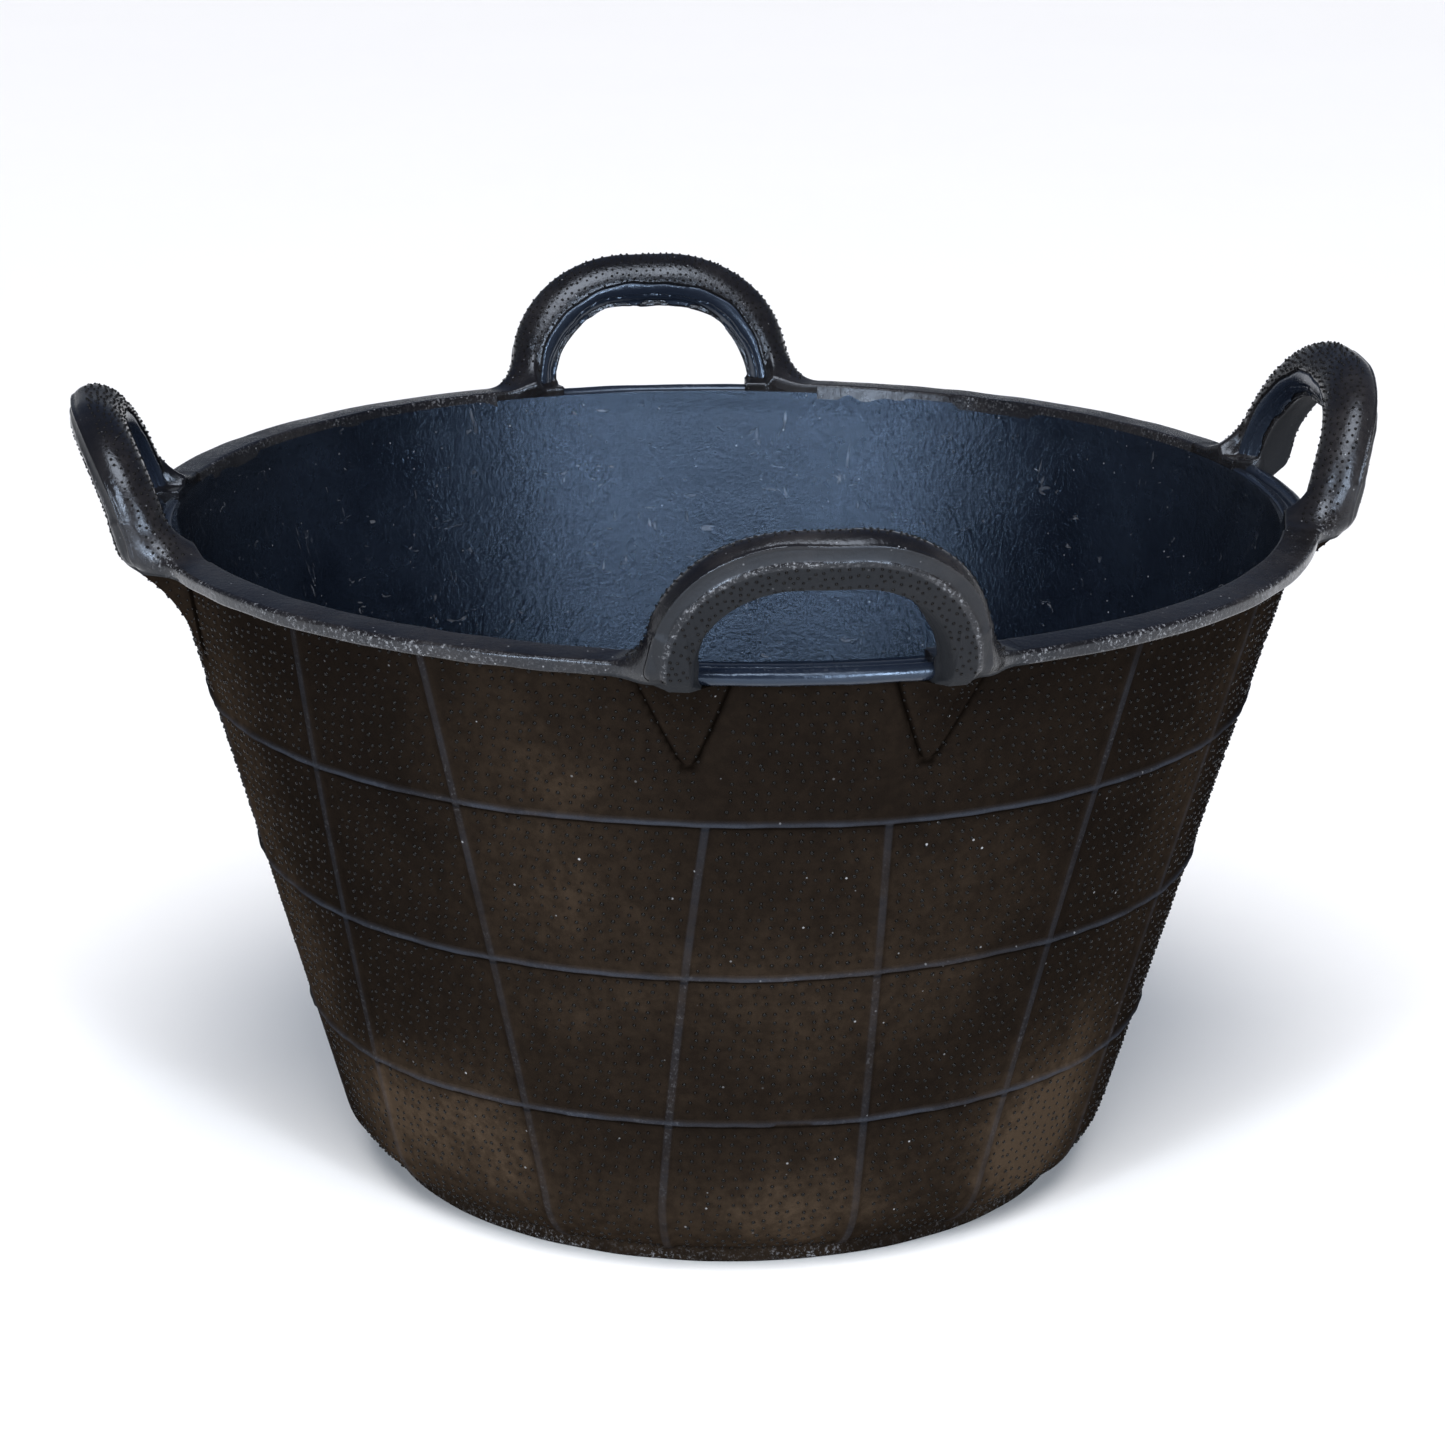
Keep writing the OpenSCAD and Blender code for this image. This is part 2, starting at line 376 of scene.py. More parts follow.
def rubber(
    name, dark, dusty, dust, gloss, grain, pitch=240.0, specks_and_glints=0.5, scratches=0.0, splashed=False,
    gleam=0.5, ior=1.5, tint=(1.0, 1.0, 1.0),
):
    """Moulded black rubber: dust in patches, pale speckles that where dense also paint glints, chalky edges,
    scuffs, painted shade, a painted highlight and a fine grain.

    dark and dusty are its colours. dust, the speckles and glints, and scratches are amounts. gloss is (roughness
    where clean, roughness where dusty). grain is the bump's depth and pitch its fineness. splashed rubber takes
    its dust, with painted warm sheen mixed in, from a vertex amount, and a painted highlight from another. gleam,
    ior and tint are the strength, index and colour of its reflections.
    """
    g = Graph(name)
    patches = g.ramp(g.noise(9.0, 6.0, 0.62, distortion=0.4), 0.36, 0.68)
    film = g.ramp(g.noise(160.0, 3.0, 0.6), 0.3, 0.7, 0.55, 1.0)
    if splashed:
        # Dust patches from a vertex amount, which low on the front flanks also paints the floor's warm sheen.
        dust_and_sheen_amount = g.node("ShaderNodeAttribute", attribute_name="dust").outputs["Fac"]
        patches = g.maths("MULTIPLY", g.ramp(patches, 0.0, 1.0, 0.45, 1.0), dust_and_sheen_amount)
    film = g.maths("MULTIPLY", g.maths("MULTIPLY", patches, film), dust, clamp=True)
    colour = g.mix(film, dark, dusty)
    height = g.noise(900.0, 3.0, 0.7)
    if scratches:
        long_marks = g.noise(95.0, 3.0, 0.75, stretch=(1.0, 1.0, 0.10), distortion=0.5)
        across = g.noise(120.0, 2.0, 0.7, stretch=(0.35, 1.0, 1.3), distortion=1.2)
        marks = g.maths("MAXIMUM", g.ramp(long_marks, 0.64, 0.72), g.ramp(across, 0.67, 0.73))
        fine = g.ramp(g.noise(34.0, 2.0, 0.5), 0.38, 0.66)
        marks = g.maths("MULTIPLY", g.maths("MULTIPLY", marks, fine), scratches)
        colour = g.mix(marks, colour, CHALK)
    # Pale speckles: dust, and where many and fine, as on the inner wall and rim, painted glints.
    dots = g.node("ShaderNodeTexVoronoi", {"Vector": g.place, "Scale": 0.88 * pitch, "Randomness": 1.0})
    near = g.ramp(dots.outputs["Distance"], 0.07, 0.17, 1.0, 0.0)
    chosen = g.node("ShaderNodeSeparateColor", {"Color": dots.outputs["Color"]}).outputs[0]
    chosen = g.ramp(chosen, 1.0 - 0.10 * specks_and_glints, 1.0 - 0.06 * specks_and_glints)
    where = g.ramp(g.noise(14.0, 3.0, 0.6), 0.40, 0.70, 0.15, 1.0)
    dots = g.maths("MULTIPLY", g.maths("MULTIPLY", near, chosen), where)
    colour = g.mix(g.maths("MULTIPLY", dots, 0.75), colour, PALE_SPECK_AND_GLINT_COLOUR)
    wear = g.node("ShaderNodeAttribute", attribute_name="wear").outputs["Fac"]
    broken = g.ramp(g.noise(520.0, 4.0, 0.8), 0.52, 0.66)
    stretches = g.ramp(g.noise(22.0, 3.0, 0.6), 0.40, 0.64, 0.12, 1.0)
    wear = g.maths("MULTIPLY", g.maths("MULTIPLY", wear, broken), stretches, clamp=True)
    colour = g.mix(wear, colour, CHALK)
    # Painted shade from a vertex amount: darkening under hoops and the rim, along spur outlines and round the
    # handles' openings; roughness is raised there too, below.
    painted_shade = g.node("ShaderNodeAttribute", attribute_name="painted_shade").outputs["Fac"]
    colour = g.mix(painted_shade, colour, PAINTED_SHADE_COLOUR)
    rough = g.ramp(film, 0.0, 0.7, *gloss)
    rough = g.maths("ADD", rough, g.ramp(g.noise(60.0, 4.0, 0.6), 0.3, 0.7, -0.06, 0.06), clamp=True)
    coarse = g.noise(pitch, 4.0, 0.6)
    normal = g.bump(coarse, 0.35 * grain, 0.29 / pitch)
    normal = g.bump(height, 0.30 * grain, 0.0004, normal)
    if splashed:
        # Painted highlight on the tops of hoops and ribs, from a vertex amount, broken up by noise.
        painted_highlight = g.node("ShaderNodeAttribute", attribute_name="painted_highlight").outputs["Fac"]
        painted_highlight = g.maths("MULTIPLY", painted_highlight, g.ramp(g.noise(25.0), 0.35, 0.65, 0.5, 1.0))
        colour = g.mix(painted_highlight, colour, PAINTED_HIGHLIGHT_COLOUR)
    rough = g.maths("MAXIMUM", rough, g.ramp(painted_shade, 0.0, 0.6, 0.0, 0.85))
    g.shader.inputs["IOR"].default_value = ior
    g.shader.inputs["Specular Tint"].default_value = (*tint, 1.0)
    return g.finish(colour, rough, normal, gleam)


def woven(name, yarn, gap, pitch):
    """Canvas or laid cord: two sets of yarns crossing at that pitch in metres."""
    g = Graph(name)
    bands = []
    for axis in ("X", "Z"):
        facts = {"Vector": g.place, "Scale": 0.157 / pitch, "Distortion": 0.6, "Detail": 2.0}
        bands.append(g.node("ShaderNodeTexWave", facts, bands_direction=axis).outputs["Fac"])
    weave = g.maths("MULTIPLY", bands[0], bands[1])
    stain = g.ramp(g.noise(30.0), 0.35, 0.7, 0.0, 0.35)
    colour = g.mix(stain, g.mix(weave, gap, yarn), (0.05, 0.045, 0.04))
    return g.finish(colour, g.ramp(weave, 0.0, 1.0, 0.95, 0.8), g.bump(weave, 0.6, 0.0006))


# Outer wall: its brown dusty colour paints dust and, low on the front flanks, the floor's warm sheen.
OUTER = rubber(
    "rubber_outer_wall", (0.0046, 0.0034, 0.0028), (0.046, 0.031, 0.020), 1.0, (0.34, 0.56), 1.0,
    splashed=True, gleam=0.0, tint=(0.55, 0.72, 1.0),
)
DOTS = rubber(
    "rubber_pimples", (0.0026, 0.0021, 0.0019), (0.014, 0.010, 0.007), 0.4, (0.24, 0.40), 0.4,
    specks_and_glints=0.3, splashed=True, gleam=0.22, ior=1.3,
)
# Inner wall: its bluish colours and blue reflection tint paint the blue sheen of sky light.
INNER = rubber(
    "rubber_inner_wall", (0.0016, 0.0019, 0.0030), (0.006, 0.008, 0.012), 0.8, (0.19, 0.24), 2.3,
    pitch=340.0, specks_and_glints=0.9, scratches=0.28, gleam=0.6, tint=(0.50, 0.70, 1.0),
)
# Rim and handle skins: the cool reflection tint paints a bluish sheen of sky light.
RIM = rubber(
    "rubber_rim", (0.0045, 0.0041, 0.0044), (0.026, 0.022, 0.020), 0.6, (0.18, 0.36), 0.9,
    pitch=330.0, specks_and_glints=2.2, gleam=0.42, ior=1.45, tint=(0.80, 0.88, 1.0),
)
# Handle linings and sills: their lighter bluish colours and blue reflection tint paint a blue sheen of sky light.
LINING = rubber(
    "rubber_handle_lining", (0.0080, 0.0105, 0.0170), (0.018, 0.022, 0.030), 0.5, (0.20, 0.32), 0.6,
    tint=(0.62, 0.78, 1.0),
)
CANVAS = woven("canvas_weave", (0.42, 0.38, 0.30), (0.16, 0.14, 0.11), 0.0012)
CORD = woven("cord_lay", (0.60, 0.57, 0.50), (0.25, 0.23, 0.19), 0.0015)

inside = {"wall_canvas": CANVAS, "base_canvas": CANVAS} | {"handle_core_" + side: CORD for side in SIDES}
for node_name, material in inside.items():
    for material_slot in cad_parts[node_name].material_slots:
        material_slot.material = material

# -------------------- wall: profile, ribs and hoops

HEEL_TURN = math.pi / 2 - WALL_LEAN
HEEL_RUN = HEEL_R * HEEL_TURN
HEEL_TOP_Z = HEEL_Z - HEEL_R * math.sin(WALL_LEAN)


def run_at(z):
    """Distance along the wall's profile, from the heel's start, of a height on the straight part."""
    return HEEL_RUN + (z - HEEL_TOP_Z) / math.cos(WALL_LEAN)


def profile(run, depth=0.0):
    """(radius, height, outward normal) along the profile, some depth under the outer face."""
    on_heel = np.clip(run, 0, HEEL_RUN) / HEEL_R - math.pi / 2
    up = np.maximum(run - HEEL_RUN, 0)
    nr, nz = np.cos(on_heel), np.sin(on_heel)
    radius = HEEL_X + (HEEL_R - depth) * nr + up * math.sin(WALL_LEAN)
    z = HEEL_Z + (HEEL_R - depth) * nz + up * math.cos(WALL_LEAN)
    return radius, z, nr, nz


RIB_COUNT = 16
RIB_STEP = 360 / RIB_COUNT
RIB_SHIFT = -2.1
HOOP_COUNT = len(HOOPS_Z)
HOOP_PITCH = HOOPS_Z[1] - HOOPS_Z[0]
# Each rib strays a little from its even azimuth: (offset in degrees at mid height, drift per hoop pitch).
# Those at the front follow the photo, and the others are random.
STRAY = {
    -146.25: (-0.2, 2.8),
    -123.75: (0.1, -1.1),
    -101.25: (0.4, 2.5),
    -78.75: (-0.3, -0.8),
    -56.25: (0.0, 0.9),
}
rib_rng = np.random.default_rng(7)
ribs = []
for count in range(RIB_COUNT):
    even = -168.75 + RIB_STEP * count
    offset, drift = STRAY.get(even, (rib_rng.uniform(-0.4, 0.4), rib_rng.uniform(-1.8, 1.8)))
    from_handle = abs((even + 45) % 90 - 45)
    ribs.append((even + RIB_SHIFT + offset, drift, from_handle > 20))
rib_middles = np.array([rib[0] for rib in ribs])[:, None]
rib_drifts = np.array([rib[1] for rib in ribs])[:, None]

RIB_H, RIB_FLAT, RIB_FOOT = 1.5, 1.0, 3.6
HOOP_H, HOOP_FLAT, HOOP_FOOT = 1.9, 0.7, 2.0
# Azimuths between which the lowest hoop is broken
HOOP_GAP = (-92.0, -87.4)


def rib_turns(z):
    """Azimuth of every rib at the given heights: one row per rib."""
    lift = (np.clip(z, 40, 345) - HOOPS_Z[1]) / HOOP_PITCH
    return np.radians(rib_middles + rib_drifts * lift)


def hoop_wave(turn, number):
    lengths = [2 * math.pi / whole for whole in (3, 7, 19)]
    return wave(turn, 20 + number, lengths, (0.5, 0.35, 0.15))


def hoop_run(turn, number):
    return run_at(HOOPS_Z[number]) + hoop_wave(turn, number)


def relief(run, turn, z, radius):
    """How far ribs and hoops stand out of the wall."""
    out = np.zeros_like(run)
    at = rib_turns(z.ravel())
    for number, (_, _, full) in enumerate(ribs):
        away = apart(turn, at[number].reshape(turn.shape)) * radius
        height = RIB_H * (1 - smooth_step(RIB_FLAT, RIB_FOOT, away))
        end = run_at(WALL_Z) if full else run_at(HOOPS_Z[2]) + 1.0
        out = np.maximum(out, height * (1 - smooth_step(end - 3, end + 1, run)) * smooth_step(0, 14, run))
    for number in range(HOOP_COUNT):
        away = np.abs(run - hoop_run(turn, number))
        height = HOOP_H * (1 - smooth_step(HOOP_FLAT, HOOP_FOOT, away))
        if number == 0:
            degrees = np.degrees((turn + math.pi) % (2 * math.pi) - math.pi)
            inside = np.minimum(degrees - HOOP_GAP[0], HOOP_GAP[1] - degrees)
            height = height * (1 - smooth_step(-0.5, 0.5, inside))
        out = np.maximum(out, height * (0.85 + 0.15 * wave(turn, 31 + number, (0.21, 0.083), (0.7, 0.5))))
    return out


def wall_uneven(run, radius, turn, z):
    return lumps_round(radius, turn, z, 3, 90.0, 0.5) * smooth_step(0, 60, run)


# U_R is the radius at which distances round the tub are measured, and SPUR_U is such a distance
U_R = 303.0
SPUR_U = 61.5
SPUR_TIP_Z = 289.0
SPUR_TOP_R = 316.0
SPUR_HALF_W = 27.0
SPUR_STEP = 1.5


def off_handle(turn):
    """Distance round the tub from the middle of the nearest handle."""
    return np.min([apart(turn, math.radians(azimuth)) for azimuth in SIDES.values()], 0) * U_R


def spur_climb(z):
    return np.clip((z - SPUR_TIP_Z) / (ARCH_Z - SPUR_TIP_Z), 0.0, 1.0)


def spur_half_width(climb):
    return 3.0 + (SPUR_HALF_W - 3.0) * climb**0.9


def spur_middle(climb):
    return SPUR_U + 2.0 * climb


def spur_outline(turn, z):
    """Distance along the wall from the nearest spur's V-shaped edge, less than nought inside it."""
    climb = spur_climb(z)
    aside = np.abs(off_handle(turn) - spur_middle(climb))
    return np.maximum(np.hypot(aside, 1.0) - spur_half_width(climb), SPUR_TIP_Z - 1.5 - z)


# Where vertices stand beside the middle of a hoop and of a rib
NEAR_HOOP = np.array([-5, -3.4, -2.6, -2.0, -1.4, -0.8, -0.3, 0.3, 0.8, 1.4, 2.0, 2.6, 3.4, 5])
NEAR_RIB = np.array([-5, -3.8, -3.0, -2.2, -1.5, -0.8, 0, 0.8, 1.5, 2.2, 3.0, 3.8, 5])


def wall_rows(top_z):
    """Runs of the rows of vertices: close together at the hoops and in the top band, where the spurs are."""
    beside = NEAR_HOOP[-1]
    rows = list(np.linspace(0, HEEL_RUN, 14)[:-1])
    low = HEEL_RUN
    for hoop in (run_at(z) for z in HOOPS_Z):
        rows += list(np.linspace(low, hoop - beside, 9))
        rows += list(hoop + NEAR_HOOP[1:-1])
        low = hoop + beside
    return np.array(rows + list(np.linspace(low, run_at(top_z), 49)))


def wall_columns():
    """For every column of vertices: its rib, the next rib, the share between them and an offset in mm."""
    columns = []
    for number in range(RIB_COUNT):
        columns += [(number, 0.0, offset) for offset in NEAR_RIB]
        columns += [(number, share, 0.0) for share in np.linspace(0, 1, 48)[1:-1]]
    return columns


rows = wall_rows(WALL_Z)
columns = wall_columns()
own, share, offset = (np.array(values) for values in zip(*columns))
run = np.repeat(rows[:, None], len(columns), 1)
_, z_flat, _, _ = profile(rows)
at = rib_turns(z_flat)
start, following = at[own].T, at[(own + 1) % RIB_COUNT].T
following = start + (following - start) % (2 * math.pi)
radius, _, _, _ = profile(run)
margin = NEAR_RIB[-1] / radius
between_ribs = start + margin + (following - start - 2 * margin) * share
turn = np.where(share > 0, between_ribs, start + offset / radius)
shift = sum(hoop_wave(turn, i) * np.exp(-(((run - run_at(z)) / 25) ** 2)) for i, z in enumerate(HOOPS_Z))
run = run + shift
radius, z, nr, nz = profile(run)
out = relief(run, turn, z, radius)
out_all = out + wall_uneven(run, radius, turn, z)
front = to_xyz(radius + nr * out_all, turn, z + nz * out_all)
from_hoops = [run - hoop_run(turn, number) for number in range(HOOP_COUNT)]
hoop_away = np.min([np.abs(away - 0.2) for away in from_hoops], 0)
below_hoop = np.max([np.exp(-(((away + 2.3) / 0.9) ** 2)) for away in from_hoops], 0)
# Painted highlight along each hoop's crest and, weaker, along each rib's crest.
painted_crest_highlight = 0.42 * np.exp(-((hoop_away / 1.1) ** 2)) + 0.2 * smooth_step(0.7, 1.4, out)
# Painted shadow lines along the spurs' V outlines, and painted shade under each hoop.
spur_line = np.exp(-((spur_outline(turn, z) / 1.8) ** 2))
painted_crease_shade = np.clip(0.8 * below_hoop * smooth_step(-1, 1, run - 40) + 0.85 * spur_line, 0, 1)
back_radius, back_z, _, _ = profile(run, SKIN_T - 0.1)
back = to_xyz(back_radius, turn, back_z)
clean_back = np.zeros(run.size)
make_piece(
    "wall_outer_form",
    np.concatenate([front, back]),
    shell_faces(*run.shape),
    OUTER,
    ["wall_outer_rubber"],
    wear=np.concatenate([smooth_step(0.9, 1.7, out).ravel() * 0.12, clean_back]),
    painted_highlight=np.concatenate([np.clip(painted_crest_highlight, 0, 1).ravel(), clean_back]),
    painted_shade=np.concatenate([painted_crease_shade.ravel(), clean_back]),
    sharp=50,
)

# -------------------- wall: inner face

inner_top = run_at(WALL_Z + 0.6)
inner_rows = np.concatenate([np.linspace(0, HEEL_RUN, 16), np.linspace(HEEL_RUN, inner_top, 70)[1:]])
inner_turn = np.linspace(-math.pi, math.pi, 361)[:-1]
run, turn = np.meshgrid(inner_rows, inner_turn, indexing="ij")
radius, z, nr, nz = profile(run, WALL_T)
uneven = lumps_round(radius, turn, z, 11, 70.0, 0.7) + lumps_round(radius, turn, z, 12, 22.0, 0.16)
uneven *= smooth_step(0, 30, run)
lip = 0.7 * smooth_step(run_at(WALL_Z - 5.0), run_at(WALL_Z - 3.8), run)
inner_front = to_xyz(radius - nr * (uneven + lip), turn, z - nz * (uneven + lip))
back_radius, back_z, _, _ = profile(run, WALL_T - LINER_T + 0.1)
inner_back = to_xyz(back_radius, turn, back_z)
make_piece(
    "wall_inner_form",
    np.concatenate([inner_front, inner_back]),
    flipped(shell_faces(*run.shape)),
    INNER,
    ["wall_inner_rubber"],
    wear=np.zeros(2 * run.size),
    sharp=50,
)

# -------------------- base discs and foot ring


def disc(name, node_name, faces_up, circles_at, material):
    """A base layer: a thick disc whose shown face, its top or its underside, has faint mould circles."""
    radius = HEEL_X
    hidden_z, face_z = (corner[2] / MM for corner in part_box(node_name))
    if not faces_up:
        hidden_z, face_z = face_z, hidden_z
    radii = [np.linspace(0.5, radius, 60)] + [[a - 1, a, a + 1] for a in circles_at]
    radii = np.unique(np.concatenate(radii))
    turns = np.linspace(-math.pi, math.pi, 181)[:-1]
    r, t = np.meshgrid(radii, turns, indexing="ij")
    circles = sum(0.45 * np.exp(-(((r - a) / 0.8) ** 2)) for a in circles_at)
    rough = lumps_round(r, t, 0 * r, 5, 60.0, 0.35) * smooth_step(radius, radius - 25, r)
    shown = to_xyz(r, t, face_z + (circles if faces_up else -circles) + rough)
    hidden = to_xyz(r, t, hidden_z + 0 * r)
    points = np.concatenate([shown, hidden, [[0, 0, face_z], [0, 0, hidden_z]]])
    size = r.size
    here = np.arange(len(turns))
    after = (here + 1) % len(turns)
    middle = [
        np.stack([np.full(len(here), 2 * size), after, here], 1),
        np.stack([np.full(len(here), 2 * size + 1), size + here, size + after], 1),
    ]
    faces = shell_faces(*r.shape)[:3] + middle
    faces = flipped(faces) if faces_up else faces
    make_piece(name, points, faces, material, [node_name], wear=np.zeros(len(points)), sharp=50)


disc("base_outer_form", "base_outer_rubber", False, (40, 60, 120, 150), OUTER)
disc("base_inner_form", "base_inner_rubber", True, (30, 130), INNER)


def revolve(name, outline, start, end, count, material, stands_for, wear_of, ripple=0.0, seed=1):
    """An outline in the (radius, height) plane turned about the tub's axis, between two azimuths."""
    whole = end - start > 2 * math.pi - 1e-6
    turns = np.linspace(start, end, count + 1)
    turns = turns[:-1] if whole else turns
    r, t = np.meshgrid(outline[:, 0], turns, indexing="ij")
    z = np.repeat(outline[:, 1][:, None], len(turns), 1)
    if ripple:
        ends = 1.0 if whole else smooth_step(0, 0.06, np.minimum(t - start, end - t))
        r = r + ends * lumps_round(r, t, 4 * z, seed, 26.0, ripple)
        z = z + ends * lumps_round(r, t, 4 * z, seed + 1, 31.0, ripple)
    wear = np.repeat(wear_of(outline)[:, None], len(turns), 1)
    points = to_xyz(r, t, z)
    faces = [grid_faces(len(outline), len(turns), close_rows=True, close_columns=whole)[:, ::-1]]
    if not whole:
        middle = outline.mean(0)
        for turn, column, flip in ((turns[0], 0, 1), (turns[-1], len(turns) - 1, -1)):
            centre = to_xyz(np.array([middle[0]]), np.array([turn]), np.array([middle[1]]))
            own_row = np.arange(len(outline)) * len(turns) + column
            fan = np.stack([own_row, np.roll(own_row, -1), np.full(len(own_row), len(points))], 1)
            faces.append(fan[:, ::flip])
            points = np.concatenate([points, centre])
            wear = np.append(wear.ravel(), 0.0)
    make_piece(name, points, faces, material, stands_for, wear=wear.ravel(), sharp=60)


foot_outline = rounded_outline([(169, 0, 1.6), (FOOT_R, 0, 2.2), (FOOT_R + 0.6, 9.5, 0), (168.4, 9.5, 0)])



def foot_wear(outline):
    """Scuffed where the tub stands, and clean above 6 mm."""
    return 0.7 * smooth_step(6.0, 1.5, outline[:, 1])


revolve(
    "foot_ring_form", foot_outline, -math.pi, math.pi, 360,
    OUTER, ["foot_ring"], foot_wear, ripple=0.25,
)

# -------------------- rim

RIM_INNER_R = wall_r(RIM_Z, WALL_T) - 0.9
RIM_FALL = 1.4
RIM_CORNERS = [
    (RIM_INNER_R, RIM_Z, 1.8),
    (RIM_R - 0.4, RIM_Z - RIM_FALL, 2.2),
    (RIM_R - 1.6, WALL_Z - 0.8, 2.0),
    (wall_r(WALL_Z) - 1.0, WALL_Z - 1.4, 0),
    (wall_r(WALL_Z) - 4.0, WALL_Z + 0.3, 0),
    (RIM_INNER_R + 3.0, WALL_Z + 0.3, 0),
    (wall_r(WALL_Z, WALL_T) - 0.5, WALL_Z - 0.1, 0),
]
ROOT_U = 104.0


def rim_wear(outline):
    """Chalky wear of the collar's outer face and, less, its inner edge, at rows of (radius, height)."""
    r, z = outline[:, 0], outline[:, 1]
    outer = smooth_step(RIM_R - 3.0, RIM_R - 1.2, r) * smooth_step(WALL_Z - 1.0, WALL_Z + 1.0, z)
    inner = smooth_step(RIM_INNER_R + 1.3, RIM_INNER_R + 0.2, r) * smooth_step(RIM_Z - 2.4, RIM_Z - 1.0, z)
    return 0.7 * outer + 0.5 * inner


rim_outline = rounded_outline(RIM_CORNERS, 7)
for number, (corner, (before, after)) in enumerate(CORNERS.items()):
    name = "rim_" + corner
    overlap_turn = (ROOT_U - 3.0) / U_R
    start = math.radians(SIDES[before]) + overlap_turn
    sweep = math.radians((SIDES[after] - SIDES[before]) % 360) - 2 * overlap_turn
    revolve(
        name + "_form", rim_outline, start, start + sweep, 150,
        RIM, [name], rim_wear, ripple=0.35, seed=60 + 5 * number,
    )

# -------------------- handles, as distance fields

ARCH_FLAT = 11.5
ARCH_R = 57.0
LEG_SLIM = 0.86
RIDGE_RHO = 0.9
BEAD_RHO = 8.6
LEG_R = 303.5
LEG_SLOPE = (317.0 - 303.5) / (398.0 - 345.0)
LEG_COS = 1 / math.hypot(1, LEG_SLOPE)
SILL_FOOT_Z = 333.4
CUT_Z = 333.0
LINING_FROM, LINING_TO = -156.0, -90.0


def arch_place(r, u, z):
    """(distance out from the arch's middle line, distance out of its leaning face, way along it)."""
    rho = np.hypot(np.maximum(np.abs(u) - ARCH_FLAT, 0), np.maximum(z - ARCH_Z, 0)) - ARCH_R
    rho = rho / (LEG_SLIM + (1 - LEG_SLIM) * smooth_step(ARCH_Z, ARCH_Z + ARCH_R, z))
    face = (r - LEG_R - (z - RIM_Z) * LEG_SLOPE) * LEG_COS
    along = ARCH_R * np.arctan2(np.maximum(z - ARCH_Z, 0), u)
    return rho, face, along


def grip_body(rho, face, along, seed):
    """Section of the arch: round, with a flat web outside, a ridge beside it and a parting bead above that.

    The places and radii in it are millimetres in the (rho, face) plane of arch_place().
    """
    round_part = np.hypot(rho - 0.5, face) - 13.2
    web = rounded_box(rho, face, (-12.6, -5.0), (RIDGE_RHO, 12.5), 2.6)
    body = blend(round_part, web, 2.0)
    hollow = 0.7 * np.exp(-(((rho - (RIDGE_RHO + BEAD_RHO) / 2) / 2.4) ** 2)) * smooth_step(4, 9, face)
    body = body + hollow
    ridge = np.hypot(rho - RIDGE_RHO - wave(along, seed, (61, 27), (0.5, 0.3)), face - 12.2) - 1.25
    body = blend(body, ridge - wave(along, seed + 1, (9, 23), (0.10, 0.15)), 0.8)
    bead = np.hypot(rho - BEAD_RHO - wave(along, seed + 7, (71, 37), (0.5, 0.2)), face - 10.1) - 1.0
    body = blend(body, bead, 0.6)
    flash = np.hypot(rho + 12.6, face + 5.0) - 1.4 - wave(along, seed + 2, (83, 37, 19), (0.5, 0.35, 0.12))
    return blend(body, flash, 1.2)


def lining_edges(along, seed):
    low = LINING_FROM + wave(along, seed + 3, (33, 12), (3.0, 1.2))
    high = LINING_TO + wave(along, seed + 4, (55, 19), (3.0, 1.5))
    return low, high


